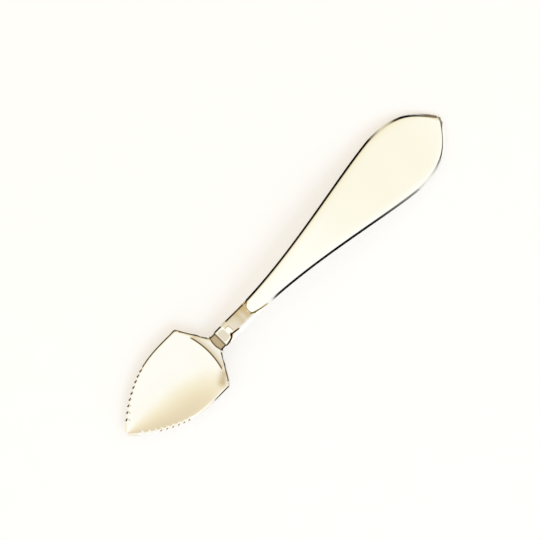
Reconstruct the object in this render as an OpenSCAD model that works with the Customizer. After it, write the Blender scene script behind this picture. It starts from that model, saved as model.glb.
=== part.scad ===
// Grapefruit spoon: a toothed, pointed bowl whose tang is set in a hollow handle of two shells.
// Every station s runs along the spoon from the bowl's tip to the handle's tip. The spoon lies on z = 0.

/* [Bowl] */
// Distance from the bowl's tip to its shoulder corners
shoulder_s = 36.3; // [35:0.1:42]
// Distance from the bowl's tip to where it reaches its full width
full_s = 31; // [26:0.1:33]
// Width across the bowl's edges
bowl_w = 26.8; // [22:0.1:32]
// Angle between the shoulders and the spoon's long axis
shoulder_angle = 59; // [50:1:65]
// Rounding of the shoulder corners, seen from above
corner_r = 1.5; // [0.8:0.1:2]
// Fillet between the shoulders and the neck, seen from above
root_r = 1.8; // [1:0.1:2.4]
// Depth of the hollow below the rim
bowl_depth = 4.8; // [4:0.1:5.5]
// Wall at the bottom of the bowl
bowl_wall = 1.3; // [1:0.1:1.8]
// Thickness of the bowl's edges
edge_t = 0.7; // [0.5:0.05:0.9]
// Width of the flat rim round the hollow
rim_w = 0.8; // [0.6:0.05:1.2]
// Distance from the bowl's tip to the deepest point of the hollow
deep_s = 24; // [21:0.5:26]
// Length of the flat web between the hollow's heel and the collar
web_l = 3.2; // [2.4:0.1:4]
// How far the ends of the heel's ridge curve back towards the tip
heel_bow = 1.1; // [0.8:0.1:1.6]
// Depth that the flat foot takes off the round underside of the bowl
foot_cut = 0.15; // [0.05:0.05:0.3]

/* [Teeth] */
// Teeth on each front edge
teeth = 9; // [5:1:10]
// Spacing of the teeth along the spoon
tooth_pitch = 1.85; // [1.5:0.05:2]
// How far the straight edge behind each tooth's point leans inward
tooth_lean = 0.15; // [0.05:0.05:0.3]
// Distance from the bowl's tip to the point of the first tooth
first_tooth_s = 3; // [2.6:0.05:3.6]

/* [Shank and tang] */
// Width of the neck
neck_w = 6.3; // [5.6:0.1:7.5]
// Thickness of the shank where it meets the collar
shank_t = 3.4; // [2.8:0.1:3.7]
// Height of the shank's middle below the bowl's rim
shank_drop = 0.55; // [0.3:0.05:0.8]
// Width of the tang at the collar
tang_w = 3; // [2:0.1:3.2]
// Thickness of the tang at the collar
tang_t = 1.8; // [1.2:0.1:2]
// Length of the tang behind the collar's band
tang_l = 22; // [16:1:26]

/* [Collar] */
// Length of the collar's band
collar_l = 2.6; // [2:0.1:3.4]
// Depth of the groove round the band
groove = 0.3; // [0.1:0.05:0.4]
// Width of the bead left between the groove and the handle
bead_l = 0.65; // [0.4:0.05:0.9]
// Length of the spigot inside the handle's mouth
spigot_l = 1.5; // [1:0.1:2.5]

/* [Handle] */
// Length of the handle behind the collar
handle_l = 105; // [90:0.5:120]
// Widest part of the handle
handle_w = 24.3; // [20:0.1:28]
// Distance from the handle's tip to its widest part
point_l = 22.5; // [18:0.1:27]
// Length of the flattened facet just behind the collar
facet_l = 3.3; // [2.6:0.1:4]
// How far the facet lies below the neck behind it
facet_drop = 0.35; // [0.1:0.05:0.5]
// Distance from the collar to the start of the flat face
face_gap = 13.5; // [12:0.1:16]
// Length over which the start of the face spreads to the full width
face_run = 7; // [5:0.1:9]
// Thickness of the handle at its mouth
mouth_t = 3.9; // [3.8:0.05:4.4]
// Height of the face above the seam
face_h = 2.45; // [2.2:0.05:3]
// Depth of the back below the seam
back_h = 2.7; // [2.3:0.05:3.2]
// Thickness at the handle's tip
tip_t = 2.4; // [2:0.1:3]
// Width of the rounded edges of the face
face_edge = 0.9; // [0.7:0.05:1.4]
// Wall of both shells
shell_wall = 0.6; // [0.4:0.05:0.7]
// Height of the seam where the face starts
face_z = 9.6; // [8.8:0.1:10.6]
// Height of the seam at the crest of the handle
crest_z = 11.6; // [10.8:0.1:13.4]
// Distance from the start of the face to the crest
crest_run = 26; // [20:0.5:34]

/* [Fits] */
// Gap between the tang and what it passes through, and between the collar or the cement and the shells
fit_gap = 0.05; // [0.02:0.01:0.1]

/* [Hidden] */
bowl_tone = [0.87, 0.85, 0.79];
collar_tone = [0.62, 0.55, 0.45];
shell_tone = [0.93, 0.91, 0.83];
cement_tone = [0.45, 0.40, 0.36];

// Stations along the spoon
root_s = shoulder_s + (bowl_w - neck_w) / 2 / tan(shoulder_angle);
heel_s = root_s - web_l;
mouth_s = root_s + collar_l;
spigot_s = mouth_s + spigot_l;
face_s = mouth_s + face_gap;
crest_s = face_s + crest_run;
overall_l = mouth_s + handle_l;
widest_s = overall_l - point_l;
tang_s = mouth_s + tang_l;
last_tooth_s = first_tooth_s + teeth * tooth_pitch;

// Heights and half sizes
rim_z = bowl_depth + bowl_wall;
root_z = rim_z - shank_drop;
tip_z = tip_t / 2;
neck_half = neck_w / 2;
bowl_half = bowl_w / 2;
tip_nose = 0.45;
nose_swell = 0.35;
nose_round = 0.8;
nose_run = 11;
foot_block = 2;
facet_rise = 1.3;
edge_land = 0.15;
groove_wall = 0.2;
keel_gap = 3;
heel_half = 7.4;
cement_past_tang = 3;
tip_solid = 4;
tip_dome = 1.5;

// Powers of the curves: larger is fuller
ogive_power = 2.5;
point_power = 3.05;
flare_in_power = 1.3;
flare_out_power = 1.83;
hollow_tip_power = 2.2;
hollow_heel_power = 2;
hollow_side_power = 2;
keel_side_power = 2.2;
crown_power = 3;
back_power = 2.4;

// Slopes of the seam, rise over run
root_slope = 0.14;
face_slope = 0.22;
tip_slope = -0.03;
web_slope = 0.05;
shank_slope = 0.3;
keel_slope = 0.25;

// Shares of the sizes that they follow
tooth_run_share = 0.62;
edge_share = 0.25;
tang_end_share = 0.6;
neck_swell_share = 0.4;
solid_width_share = 0.5;
face_crown_share = 0.1;

// Cells across each half ring
cells = 20;
tip_rows = 7;
nose_rows = 5;
ring_n = 2 * (cells + 1);
shares_across = [for (j = [0:cells]) -cos(180 * j / cells)];

// A cubic from a to b, each given as [station, height, slope]
function glide(s, a, b) =
    let (l = b[0] - a[0], t = (s - a[0]) / l, u = 1 - t)
    a[1] * (1 + 2 * t) * u * u + a[2] * l * t * u * u + b[1] * t * t * (3 - 2 * t) - b[2] * l * t * t * u;

function held(t) = min(1, max(0, t));
function ramp(s, a, b) = let (t = held((s - a) / (b - a))) t * t * (3 - 2 * t);
function mix(a, b, t) = a + (b - a) * t;
// Rises from 0 to 1 as t goes from 0 to 1, steep at first
function swell(t, power) = 1 - pow(1 - held(t), power);
// A quarter circle: 0 at the edge, 1 from one radius in
function quarter(t) = sqrt(1 - pow(1 - held(t), 2));

// Half the width of the spoon, teeth left out: an ogive, a corner, a straight shoulder, a fillet,
// the neck, the flare of the handle and its point
corner_run = corner_r * tan(shoulder_angle / 2);
root_run = root_r * tan(shoulder_angle / 2);
function shoulder_half(s) =
    s <= shoulder_s - corner_run ? bowl_half
    : s <= shoulder_s + corner_run * cos(shoulder_angle)
        ? bowl_half - corner_r + sqrt(pow(corner_r, 2) - pow(s - shoulder_s + corner_run, 2))
    : s <= root_s - root_run * cos(shoulder_angle)
        ? bowl_half - (s - shoulder_s) * tan(shoulder_angle)
    : neck_half + root_r - sqrt(pow(root_r, 2) - pow(root_s + root_run - s, 2));
function flare_half(s) =
    let (t = (s - face_s) / (widest_s - face_s))
    mix(neck_half, handle_w / 2, pow(swell(t, flare_in_power), flare_out_power));
// The round nose that both tips end in, added to half their width near the end
function nose(from_end) =
    (tip_nose + nose_swell * quarter(from_end / nose_round)) * (1 - held(from_end / nose_run));
function half_w(s) =
    s <= full_s ? bowl_half * swell(s / full_s, ogive_power) + nose(s)
    : s < root_s + root_run ? shoulder_half(s)
    : s <= widest_s ? flare_half(s)
    : handle_w / 2 * swell((overall_l - s) / point_l, point_power) + nose(overall_l - s);

// Half the width with the teeth. From each tooth's point the edge runs nearly straight back, then it
// steps out to the next tooth's point, and all the points lie on the bowl's outline
function toothed_half(s) =
    s <= first_tooth_s || s >= last_tooth_s ? half_w(s)
    : let (
        start = first_tooth_s + tooth_pitch * floor((s - first_tooth_s) / tooth_pitch),
        phase = (s - start) / tooth_pitch
    )
    phase < tooth_run_share ? half_w(start) - tooth_lean * phase / tooth_run_share
    : mix(
        half_w(start) - tooth_lean, half_w(start + tooth_pitch),
        (phase - tooth_run_share) / (1 - tooth_run_share)
    );

// Height of the middle of the neck and of the handle's seam
function seam_z(s) =
    s <= face_s ? glide(s, [root_s, root_z, root_slope], [face_s, face_z, face_slope])
    : s <= crest_s ? glide(s, [face_s, face_z, face_slope], [crest_s, crest_z, 0])
    : glide(s, [crest_s, crest_z, 0], [overall_l, tip_z, tip_slope]);

// The hollow's depth below the rim; the heel's ridge is an arc, so its station is measured along that arc
function hollow(s, y) =
    let (
        t = s + heel_bow * pow(y / heel_half, 2),
        along = t <= deep_s ? swell(t / deep_s, hollow_tip_power)
            : 1 - pow(held((t - deep_s) / (heel_s - deep_s)), hollow_heel_power),
        side = max(tip_nose, half_w(s) - rim_w)
    )
    bowl_depth * along * max(0, 1 - pow(abs(y) / side, hollow_side_power));

// Upper and lower limits of the bowl and shank: at their edges, then along the middle
shank_edge = shank_t * edge_share;
function bowl_edge_top(s) =
    s <= heel_s ? rim_z : glide(s, [heel_s, rim_z, 0], [root_s, root_z + shank_edge, 0]);
function bowl_edge_low(s) =
    s <= heel_s ? rim_z - edge_t : glide(s, [heel_s, rim_z - edge_t, 0], [root_s, root_z - shank_edge, 0]);
function web_top(s) =
    s <= heel_s ? rim_z : glide(s, [heel_s, rim_z, web_slope], [root_s, root_z + shank_t / 2, shank_slope]);
keel_s = deep_s + keel_gap;
function keel(s) =
    s <= deep_s ? mix(rim_z - edge_t, -foot_cut, swell(s / deep_s, hollow_tip_power))
    : s <= keel_s ? -foot_cut
    : glide(s, [keel_s, -foot_cut, 0], [root_s, root_z - shank_t / 2, keel_slope]);

// Distances above the seam of the neck and of the flat face, and below it of the back
facet_s = mouth_s + facet_l;
function neck_top(s) =
    let (
        mouth_top = mouth_t / 2,
        behind_facet = mix(mouth_top + facet_drop, face_h, ramp(s, facet_s + facet_rise, face_s))
    )
    s <= facet_s + facet_rise ? mouth_top + facet_drop * ramp(s, facet_s, facet_s + facet_rise)
    : s <= face_s ? behind_facet
    : face_h * (1 + neck_swell_share * swell((s - face_s) / face_run, 2));
function to_tip(s) = ramp(s, widest_s, overall_l);
function face_top(s) = mix(face_h, tip_t / 2, to_tip(s));
function back_low(s) = mix(mix(mouth_t / 2, back_h, ramp(s, mouth_s, face_s)), tip_t / 2, to_tip(s));
function front_height(s, share) =
    let (
        w = half_w(s),
        in = w * (1 - abs(share)),
        edge = min(face_edge, w),
        blend = ramp(s, facet_s, facet_s + facet_rise),
        neck_edge = mix(edge, min(w, neck_half), blend),
        crown = 1 - face_crown_share * share * share
    )
    min(neck_top(s) * quarter(in / neck_edge), face_top(s) * quarter(in / edge) * crown);
function back_height(s, share) =
    let (full = back_low(s) * pow(max(0, 1 - pow(abs(share), back_power)), 1 / back_power))
    min(full, seam_z(s));

// The cavity inside the shells, closed by a solid tip
function cavity(s) = held((overall_l - tip_solid - s) / tip_dome);
function cavity_half(s) = max(half_w(s) - shell_wall, half_w(s) * solid_width_share);
function cavity_top(s, share) = cavity(s) * max(0, front_height(s, share) - shell_wall);
function cavity_low(s, share) = cavity(s) * max(0, back_height(s, share) - shell_wall);

// A point at a station, a share of the half width and a height
function spot(s, half, share, z) = [s - overall_l / 2, half * share, z];

// One closed ring: the upper edge from -y to +y, then the lower edge back
function ring(s, half_up, up, half_low, low) = concat(
    [for (j = [0:cells]) spot(s, half_up, shares_across[j], up[j])],
    [for (j = [cells:-1:0]) spot(s, half_low, shares_across[j], low[j])]
);

// A rounded bar round the seam, used for the tang, the holes that it passes through, and the shank
function bar_ring(s, w, t) =
    let (
        z = seam_z(s),
        crown_share = 1 / 2 - edge_share,
        rise = [for (v = shares_across) t * (edge_share + crown_share * (1 - pow(abs(v), crown_power)))]
    )
    ring(s, w / 2, [for (r = rise) z + r], w / 2, [for (r = rise) z - r]);
function tang_taper(s) = mix(1, tang_end_share, held((s - root_s) / (tang_s - root_s)));
function tang_ring(s, gap) = bar_ring(s, tang_w * tang_taper(s) + 2 * gap, tang_t * tang_taper(s) + 2 * gap);

// A ring round the neck's outside or the cavity, less a gap
function neck_ring(s, less) =
    let (half = half_w(s) - less, z = seam_z(s), kept = 1 - less / mouth_t)
    ring(
        s, half, [for (v = shares_across) z + edge_land + front_height(s, v) * kept],
        half, [for (v = shares_across) z - edge_land - back_height(s, v) * kept]
    );
function cavity_ring(s, less) =
    let (half = cavity_half(s) - less, z = seam_z(s))
    ring(
        s, half, [for (v = shares_across) z + max(less, cavity_top(s, v) - less)],
        half, [for (v = shares_across) z - max(less, cavity_low(s, v) - less)]
    );

function bowl_ring(s) =
    let (half = toothed_half(s), kept = half / half_w(s))
    ring(
        s,
        half,
        [for (v = shares_across) bowl_edge_top(s) - hollow(s, half * v)
            + (web_top(s) - bowl_edge_top(s)) * (1 - pow(abs(v), crown_power))],
        half,
        [for (v = shares_across) bowl_edge_low(s)
            - (bowl_edge_low(s) - keel(s)) * (1 - pow(abs(v) * kept, keel_side_power))]
    );

function front_ring(s) = ring(
    s, half_w(s), [for (v = shares_across) seam_z(s) + front_height(s, v)],
    cavity_half(s), [for (v = shares_across) seam_z(s) + cavity_top(s, v)]
);
function back_ring(s) = ring(
    s, cavity_half(s), [for (v = shares_across) seam_z(s) - cavity_low(s, v)],
    half_w(s), [for (v = shares_across) seam_z(s) - back_height(s, v)]
);

// Evenly spaced stations from a to b, both included
function spaced(a, b, n) = [for (i = [0:n]) mix(a, b, i / n)];
function without_first(list) = [for (i = [1:len(list) - 1]) list[i]];

// Faces along the rings that start at point number first
function skin(rows, first) = [
    for (r = [0:rows - 2], c = [0:ring_n - 1])
    let (a = first + r * ring_n + c, b = first + r * ring_n + (c + 1) % ring_n)
    each [[a, b, b + ring_n], [a, b + ring_n, a + ring_n]]
];
// A flat end over one ring, as strips from its upper to its lower edge. Beside a seam three points can
// lie in line, so each half is split along the diagonal that avoids them: opens_down when the cavity is below
function lid(first, opens_down) = [
    for (j = [0:cells - 1])
    let (u = first + j, l = first + ring_n - 1 - j, rises = (j < cells / 2) == opens_down)
    each (rises ? [[u + 1, u, l], [u + 1, l, l - 1]] : [[u + 1, u, l - 1], [u, l, l - 1]])
];
// A flat end between two rings
function washer(outer, inner) = [
    for (c = [0:ring_n - 1])
    let (d = (c + 1) % ring_n)
    each [[outer + d, outer + c, inner + c], [outer + d, inner + c, inner + d]]
];
function turned(faces) = [for (f = faces) [f[2], f[1], f[0]]];

module loft(rings, opens_down = true) {
    rows = len(rings);
    polyhedron(
        points = [for (r = rings) each r],
        faces = concat(skin(rows, 0), lid(0, opens_down), turned(lid((rows - 1) * ring_n, opens_down)))
    );
}

// A loft with a hole right through, or one that ends inside it
module bored_loft(rings, hole, through) {
    rows = len(rings);
    depth = len(hole);
    bore = rows * ring_n;
    bore_end = bore + (depth - 1) * ring_n;
    rings_end = (rows - 1) * ring_n;
    polyhedron(
        points = [for (r = concat(rings, hole)) each r],
        faces = concat(
            skin(rows, 0),
            turned(skin(depth, bore)),
            washer(0, bore),
            through
                ? turned(washer(rings_end, bore_end))
                : concat(lid(bore_end, true), turned(lid(rings_end, true)))
        )
    );
}

bowl_rows = concat(
    [for (i = [0:nose_rows - 1]) first_tooth_s * pow(i / nose_rows, 2)],
    [for (k = [0:teeth - 1], part = [0, tooth_run_share / 2, tooth_run_share])
        first_tooth_s + (k + part) * tooth_pitch],
    spaced(last_tooth_s, shoulder_s - corner_run, 10),
    without_first(spaced(shoulder_s - corner_run, shoulder_s + corner_run * cos(shoulder_angle), 3)),
    without_first(spaced(shoulder_s + corner_run * cos(shoulder_angle), heel_s, 4)),
    without_first(spaced(heel_s, root_s, 6))
);

module bowl() {
    color(bowl_tone)
        difference() {
            loft(concat(
                [for (s = bowl_rows) bowl_ring(s)],
                [for (s = spaced(root_s, tang_s, 10)) tang_ring(s, 0)]
            ));
            // What lies below the table comes off, which leaves the flat foot
            translate([-overall_l / 2, -bowl_half, -foot_block])
                cube([root_s, bowl_w, foot_block]);
        }
}

// The band's rings, each with its station and how deep the groove is there
bead_s = mouth_s - bead_l;
band_rings = [
    [root_s, 0], [root_s + groove_wall, groove], [bead_s - groove_wall, groove], [bead_s, 0], [mouth_s, 0]
];

module neck_collar() {
    color(collar_tone)
        bored_loft(
            concat(
                [for (r = band_rings) neck_ring(r[0], r[1])],
                [for (s = [mouth_s, spigot_s]) cavity_ring(s, fit_gap)]
            ),
            [for (s = spaced(root_s, spigot_s, 3)) tang_ring(s, fit_gap)],
            true
        );
}

shell_rows = concat(
    spaced(mouth_s, facet_s, 3),
    without_first(spaced(facet_s, facet_s + facet_rise, 4)),
    without_first(spaced(facet_s + facet_rise, face_s, 7)),
    without_first(spaced(face_s, face_s + face_run, 7)),
    without_first(spaced(face_s + face_run, widest_s, 12)),
    without_first(spaced(widest_s, overall_l - tip_solid - tip_dome, 6)),
    without_first([for (i = [0:tip_rows]) overall_l - (tip_solid + tip_dome) * pow(1 - i / tip_rows, 2)])
);

module handle_front_shell() {
    color(shell_tone) loft([for (s = shell_rows) front_ring(s)]);
}

module handle_back_shell() {
    color(shell_tone) loft([for (s = shell_rows) back_ring(s)], opens_down = false);
}

module tang_cement() {
    cement_rows = [for (s = shell_rows) if (s > spigot_s && s < tang_s + cement_past_tang) s];
    color(cement_tone)
        bored_loft(
            [for (s = concat([spigot_s + fit_gap], cement_rows)) cavity_ring(s, fit_gap)],
            [for (s = spaced(spigot_s + fit_gap, tang_s + fit_gap, 8)) tang_ring(s, fit_gap)],
            false
        );
}

bowl();
neck_collar();
handle_front_shell();
handle_back_shell();
tang_cement();
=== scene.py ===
"""Visual model of a grapefruit spoon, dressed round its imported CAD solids.

Every piece is a surface of two parameters: a station s along the spoon, in millimetres
from the bowl's tip, and a share v of the half width, from -1 on the -Y side to 1. One
family of curves, SpoonLines, gives the outline and the seam, so that the pieces meet.
Sizes are in millimetres up to the last step, which writes metres into the meshes.
"""

import logging
import math
from collections.abc import Callable
from dataclasses import dataclass
from enum import Enum
from typing import Any

import bmesh
import bpy
import numpy as np
from mathutils import Matrix, Vector


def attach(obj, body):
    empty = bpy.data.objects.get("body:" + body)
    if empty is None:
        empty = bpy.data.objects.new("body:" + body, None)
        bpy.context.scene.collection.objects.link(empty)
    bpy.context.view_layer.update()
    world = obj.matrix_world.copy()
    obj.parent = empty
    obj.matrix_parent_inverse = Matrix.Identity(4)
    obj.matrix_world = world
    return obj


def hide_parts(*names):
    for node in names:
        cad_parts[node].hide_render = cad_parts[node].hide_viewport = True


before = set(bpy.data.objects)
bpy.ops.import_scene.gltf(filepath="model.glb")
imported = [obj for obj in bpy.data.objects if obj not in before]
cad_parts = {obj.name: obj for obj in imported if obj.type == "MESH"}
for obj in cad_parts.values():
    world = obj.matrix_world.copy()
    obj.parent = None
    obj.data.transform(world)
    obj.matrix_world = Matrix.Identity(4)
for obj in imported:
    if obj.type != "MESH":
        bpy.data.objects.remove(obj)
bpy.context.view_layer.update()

LOG = logging.getLogger("spoon")
MM = 0.001
TIP_GAP = 0.004  # millimetres from a pointed end to its last ring
END_ROUND = 0.12  # rounding of a piece's cut end, in millimetres
Array = np.ndarray


# Curves of one parameter


def held(t: Array) -> Array:
    """Return t kept between 0 and 1."""
    return np.clip(t, 0.0, 1.0)


def ramp(s: Array, start: float, end: float) -> Array:
    """Return the smooth step 3t^2 - 2t^3 as s goes from start to end."""
    t = held((s - start) / (end - start))
    return t * t * (3 - 2 * t)


def mix(a: Array, b: Array, t: Array) -> Array:
    """Return the value t of the way from a to b."""
    return a + (b - a) * t


def swell(t: Array, power: float) -> Array:
    """Return 1 - (1 - t)^power, which rises from 0 to 1 and is steep at first."""
    return 1 - (1 - held(t)) ** power


def quarter(t: Array, power: float = 2.0) -> Array:
    """Return a quarter of a rounded square: 0 at the edge, 1 from one radius in.

    Args:
        t: Distance from the edge in radii.
        power: 2 for a circle, more for a squarer corner.

    Returns:
        (1 - (1 - t)^power)^(1 / power).
    """
    return (1 - (1 - held(t)) ** power) ** (1 / power)


def soft_max(a: Array, b: Array, blend: float) -> Array:
    """Return the larger of a and b, rounded where they cross over about blend."""
    return (a + b + np.sqrt((a - b) ** 2 + blend**2)) / 2


def soft_min(a: Array, b: Array, blend: float) -> Array:
    """Return the smaller of a and b, rounded where they cross over about blend."""
    return -soft_max(-a, -b, blend)


def glide(s: Array, a: tuple[float, float, float], b: tuple[float, float, float]) -> Array:
    """Return the cubic that joins two points with given slopes.

    Args:
        s: Stations.
        a: Station, height and slope at the start.
        b: Station, height and slope at the end.

    Returns:
        The Hermite cubic's height at each station.
    """
    run = b[0] - a[0]
    t = (s - a[0]) / run
    u = 1 - t
    start = a[1] * (1 + 2 * t) * u * u + a[2] * run * t * u * u
    return start + b[1] * t * t * (3 - 2 * t) - b[2] * run * t * t * u


def nearer(a: Array, b: Array) -> Array:
    """Return the distance to the nearer of two edges, (a^-3 + b^-3)^(-1/3), rounded in the corner."""
    low, high = np.maximum(np.minimum(a, b), 0), np.maximum(a, b)
    return low / (1 + (low / high) ** 3) ** (1 / 3)


def rolled(inside: Array, width: Array | float, steep: Array | float, power: float = 2.5) -> Array:
    """Return how far a flat lies lower near its edge, where it is rolled over.

    Args:
        inside: Distance from the edge.
        width: Width of the rolled strip.
        steep: Slope at the edge itself, one value or one for each point.
        power: How long the strip stays steep before it levels out.

    Returns:
        The integral of a slope of steep (1 - u^power), u being the share of the strip.
    """
    u = held(inside / width)
    return steep * width * ((1 - u) - (1 - u ** (power + 1)) / (power + 1))


def steepness(v: Array, sides: tuple[float, float]) -> Array:
    """Return the edge's slope for the -Y and the +Y side, blended across the middle."""
    return mix(sides[0], sides[1], ramp(v, -0.5, 0.5))


def slope(curve: Callable[[Array], Array], s: Array, step: float = 0.01, end: float = math.inf) -> Array:
    """Return a curve's slope, as a central difference.

    Args:
        curve: A width or a height, worked out from stations.
        s: Stations.
        step: How far to each side the curve is read.
        end: The last station at which it is read. The first is 0.

    Returns:
        The slope at each station.
    """
    low, high = np.clip(s - step, 0, end), np.clip(s + step, 0, end)
    return (curve(high) - curve(low)) / (high - low)


def bell(far: Array, reach: float) -> Array:
    """Return the bell curve exp(-(far / reach)^2), 1 at 0 and 1 / e at the reach."""
    return np.exp(-((far / reach) ** 2))


def at_cut_end(to_end: Array) -> Array:
    """Return the share of its thickness that a piece keeps by a cut end with a rounded edge."""
    return mix(0.95, 1.0, quarter(to_end / END_ROUND))


def gathered(start: float, end: float, count: int) -> Array:
    """Return stations start + (end - start) t^2, which are closest together at the start."""
    return start + (end - start) * np.linspace(0, 1, count) ** 2


def joined(*parts: Array) -> Array:
    """Return the stations of several stretches as one rising list without repeats."""
    return np.unique(np.round(np.concatenate(parts), 6))


def across(cells: int) -> Array:
    """Return shares of the half width from -1 to 1, closer together near the edges."""
    return -np.cos(np.pi * np.arange(cells + 1) / cells)


@dataclass(frozen=True)
class SpoonLines:
    """Outline and seam of the whole spoon, in millimetres.

    The outline is an ogive with a small round nose, a rounded shoulder corner, a straight
    shoulder, a fillet, the neck, the handle's flare and its point. The seam is the line
    along which the two shells of the handle meet.

    Attributes:
        shoulder_s: Station where the sides and the shoulders would meet.
        full_s: Station from which the bowl has its full width.
        bowl_half: Half the bowl's width.
        shoulder_angle: Angle of the shoulders to the long axis.
        corner_r: Radius of the shoulder's corner.
        root_r: Radius of the fillet between shoulder and neck.
        neck_half: Half the neck's width.
        collar_l: Length of the collar.
        handle_l: Length of the handle.
        handle_half: Half the handle's width at its widest.
        point_l: Length of the handle's point, from its widest place to its tip.
        face_gap: Length of the neck between the collar and the flat face.
        face_z: Height of the seam where the face starts.
        crest_z: Height of the seam at its highest.
        crest_run: How far past the face's start the seam is highest.
        rim_z: Height of the bowl's rim.
        shank_drop: How far the shank's middle lies below the rim.
        tip_z: Height of the seam at the handle's tip.
        seam_slopes: Slopes of the seam at the shank's root, the face's start, the crest
            and the tip.
        ogive_power: How blunt the bowl's outline is.
        point_power: How blunt the handle's point is.
        flare_in_power: How soon the handle's flare levels out.
        flare_out_power: How late it leaves the neck's width.
        nose_half: Half width that the round nose adds to both tips.
        nose_round: Rounding of that nose.
        nose_run: Length over which it fades out.
    """

    shoulder_s: float = 36.3
    full_s: float = 31.0
    bowl_half: float = 13.4
    shoulder_angle: float = math.radians(59)
    corner_r: float = 1.5
    root_r: float = 1.8
    neck_half: float = 3.15
    collar_l: float = 2.6
    handle_l: float = 105.0
    handle_half: float = 12.15
    point_l: float = 22.5
    face_gap: float = 13.5
    face_z: float = 9.6
    crest_z: float = 11.6
    crest_run: float = 26.0
    rim_z: float = 6.1
    shank_drop: float = 0.55
    tip_z: float = 1.2
    seam_slopes: tuple[float, float, float, float] = (0.14, 0.22, 0.0, -0.03)
    ogive_power: float = 2.5
    point_power: float = 3.05
    flare_in_power: float = 1.3
    flare_out_power: float = 1.83
    nose_half: float = 0.8
    nose_round: float = 0.6
    nose_run: float = 11.0

    @property
    def root_s(self) -> float:
        """Station where the shoulders would meet the neck, and where the collar starts."""
        return self.shoulder_s + (self.bowl_half - self.neck_half) / math.tan(self.shoulder_angle)

    @property
    def mouth_s(self) -> float:
        """Station of the handle's mouth."""
        return self.root_s + self.collar_l

    @property
    def face_s(self) -> float:
        """Station where the flat face of the handle starts."""
        return self.mouth_s + self.face_gap

    @property
    def crest_s(self) -> float:
        """Station of the handle's highest point."""
        return self.face_s + self.crest_run

    @property
    def overall_l(self) -> float:
        """Length of the spoon."""
        return self.mouth_s + self.handle_l

    @property
    def widest_s(self) -> float:
        """Station of the handle's widest point."""
        return self.overall_l - self.point_l

    def nose(self, from_end: Array) -> Array:
        """Return what makes a tip blunt: a quarter round that fades out over the nose's run."""
        return self.nose_half * quarter(from_end / self.nose_round) * (1 - held(from_end / self.nose_run))

    def half_width(self, s: Array) -> Array:
        """Return half the spoon's width, teeth left out.

        The ogive and the point are swells of the distance from their tips, the corner and
        the fillet are arcs, and the flare is a swell raised to a power.

        Args:
            s: Stations.

        Returns:
            The half width at each station.
        """
        angle, corner_r, root_r = self.shoulder_angle, self.corner_r, self.root_r
        corner_run = corner_r * math.tan(angle / 2)
        root_run = root_r * math.tan(angle / 2)
        ogive = self.bowl_half * swell(s / self.full_s, self.ogive_power) + self.nose(s)
        past_corner = s - self.shoulder_s + corner_run
        corner = self.bowl_half - corner_r + np.sqrt(np.maximum(corner_r**2 - past_corner**2, 0))
        straight = self.bowl_half - (s - self.shoulder_s) * math.tan(angle)
        to_neck = self.root_s + root_run - s
        fillet = self.neck_half + root_r - np.sqrt(np.maximum(root_r**2 - to_neck**2, 0))
        along = (s - self.face_s) / (self.widest_s - self.face_s)
        flared = swell(along, self.flare_in_power) ** self.flare_out_power
        to_end = self.overall_l - s
        point = self.handle_half * swell(to_end / self.point_l, self.point_power) + self.nose(to_end)
        return np.select(
            [
                s <= self.full_s,
                s <= self.shoulder_s - corner_run,
                s <= self.shoulder_s + corner_run * math.cos(angle),
                s <= self.root_s - root_run * math.cos(angle),
                s < self.root_s + root_run,
                s <= self.widest_s,
            ],
            [
                ogive,
                np.full_like(s, self.bowl_half),
                corner,
                straight,
                fillet,
                mix(self.neck_half, self.handle_half, flared),
            ],
            point,
        )

    def lean(self, s: Array) -> Array:
        """Return the cosine of the outline's angle to the long axis."""
        return 1 / np.hypot(1, slope(self.half_width, s, end=self.overall_l))

    def seam(self, s: Array) -> Array:
        """Return the height of the neck's middle and of the handle's seam.

        Args:
            s: Stations.

        Returns:
            Three cubics, joined where the face starts and on the crest.
        """
        at_root, at_face, at_crest, at_tip = self.seam_slopes
        root = (self.root_s, self.rim_z - self.shank_drop, at_root)
        face = (self.face_s, self.face_z, at_face)
        crest = (self.crest_s, self.crest_z, at_crest)
        tip = (self.overall_l, self.tip_z, at_tip)
        return np.where(
            s <= self.face_s,
            glide(s, root, face),
            np.where(s <= self.crest_s, glide(s, face, crest), glide(s, crest, tip)),
        )


LINES = SpoonLines()


@dataclass(frozen=True)
class ShadeLine:
    """A dark line of painted shade in a finish, with soft sides.

    Attributes:
        strength: The painted shade on the line itself.
        reach: Distance from the line at which that has fallen to 1 / e, in millimetres.
        points: Station and distance across of the points that the line joins.
        fades: Stretches over which the line fades, each with its start, its end and the
            share that is lost.
    """

    strength: float
    reach: float
    points: tuple[tuple[float, float], ...]
    fades: tuple[tuple[float, float, float], ...] = ()

    def tone(self, s: Array, y: Array) -> Array:
        """Return the line's painted shade, a bell curve of the distance to its nearest stretch.

        Args:
            s: Stations.
            y: Distances across.

        Returns:
            The tarnish at each point.
        """
        far = np.full(np.broadcast(s, y).shape, np.inf)
        for (s0, y0), (s1, y1) in zip(self.points[:-1], self.points[1:]):
            ds, dy = s1 - s0, y1 - y0
            t = held(((s - s0) * ds + (y - y0) * dy) / (ds**2 + dy**2))
            far = np.minimum(far, np.hypot(s - s0 - t * ds, y - y0 - t * dy))
        tone = self.strength * bell(far, self.reach)
        for start, end, lost in self.fades:
            tone = tone * (1 - lost * ramp(s, start, end))
        return tone


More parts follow.
